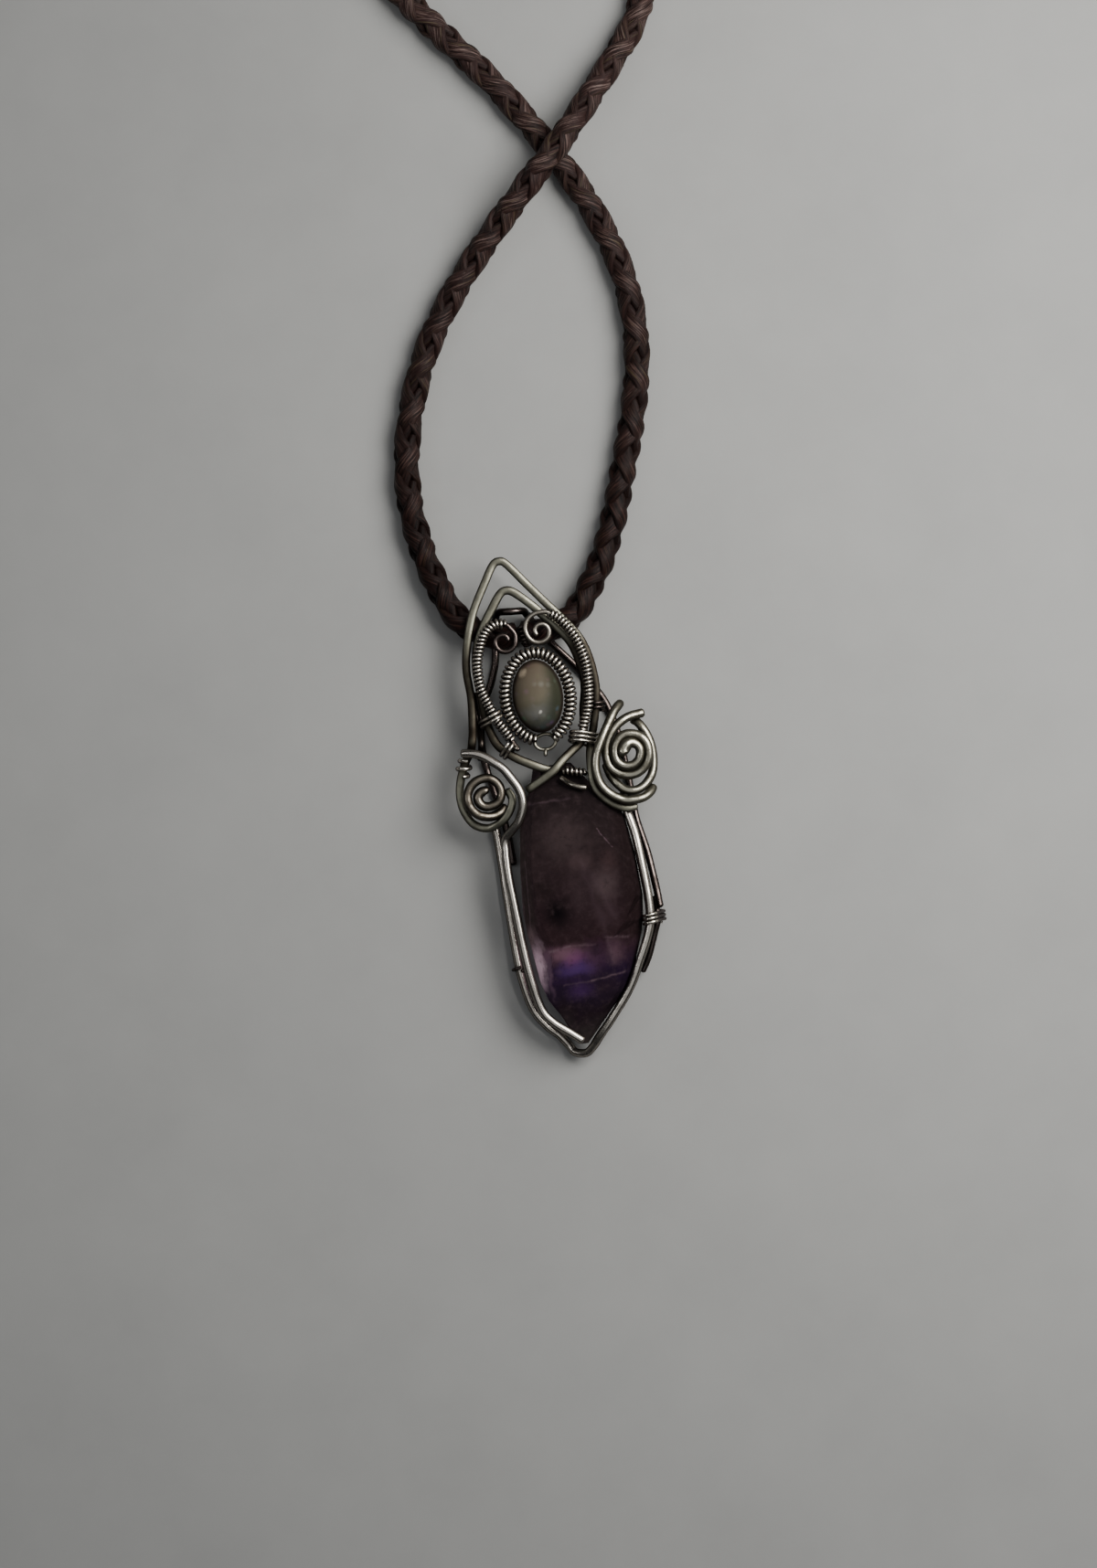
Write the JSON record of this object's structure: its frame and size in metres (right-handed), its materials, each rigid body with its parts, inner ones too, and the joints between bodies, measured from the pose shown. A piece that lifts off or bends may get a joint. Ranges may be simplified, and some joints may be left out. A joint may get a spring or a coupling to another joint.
{
  "type": "crystal pendant necklace",
  "caption": "Wire-wrapped amethyst point with an oval opal in a coiled wire head, spiral rosettes and a triangular bail, on a braided cord loop with a barrel clasp.",
  "frame": {"origin": "middle of the pendant's own box, on the surface that it lies on", "axes": "+Y from the crystal's point to the bail, +X to the right of the front view, +Z out of the front"},
  "size_m": [0.0374, 0.2462, 0.0081],
  "materials": {
    "amethyst": "polished facets over a cloudy mauve body",
    "opal": "polished milky dome",
    "silver": "polished silver wire",
    "dark_silver": "silver wire darkened with age",
    "cord": "waxed threads in a round braid",
    "clasp": "polished silver"
  },
  "bodies": {
    "root": {"crystal": "amethyst", "opal": "opal", "opal_ring_coil": "silver", "opal_ring_core": "dark_silver", "ring_loop": "silver", "left_coil": "silver", "left_scroll": "dark_silver", "right_coil": "silver", "right_scroll": "dark_silver", "outer_arch": "silver", "inner_arch": "silver", "left_stay": "silver", "back_frame": "dark_silver", "left_frame": "silver", "right_frame": "silver", "back_stub": "dark_silver", "left_spiral": "silver", "right_spiral": "silver", "right_sweep": "silver", "right_loop": "silver", "neck_coil": "silver", "neck_core": "dark_silver", "neck_wire": "dark_silver", "tie_post": "dark_silver", "top_lash": "dark_silver", "binding_left_up": "silver", "binding_left_low": "silver", "binding_right_up": "dark_silver", "binding_right_low": "silver", "binding_rosette": "silver", "binding_side": "dark_silver", "binding_side_left": "dark_silver", "cord_left": "cord", "cord_right": "cord", "clasp": "clasp"}
  },
  "joints": []
}
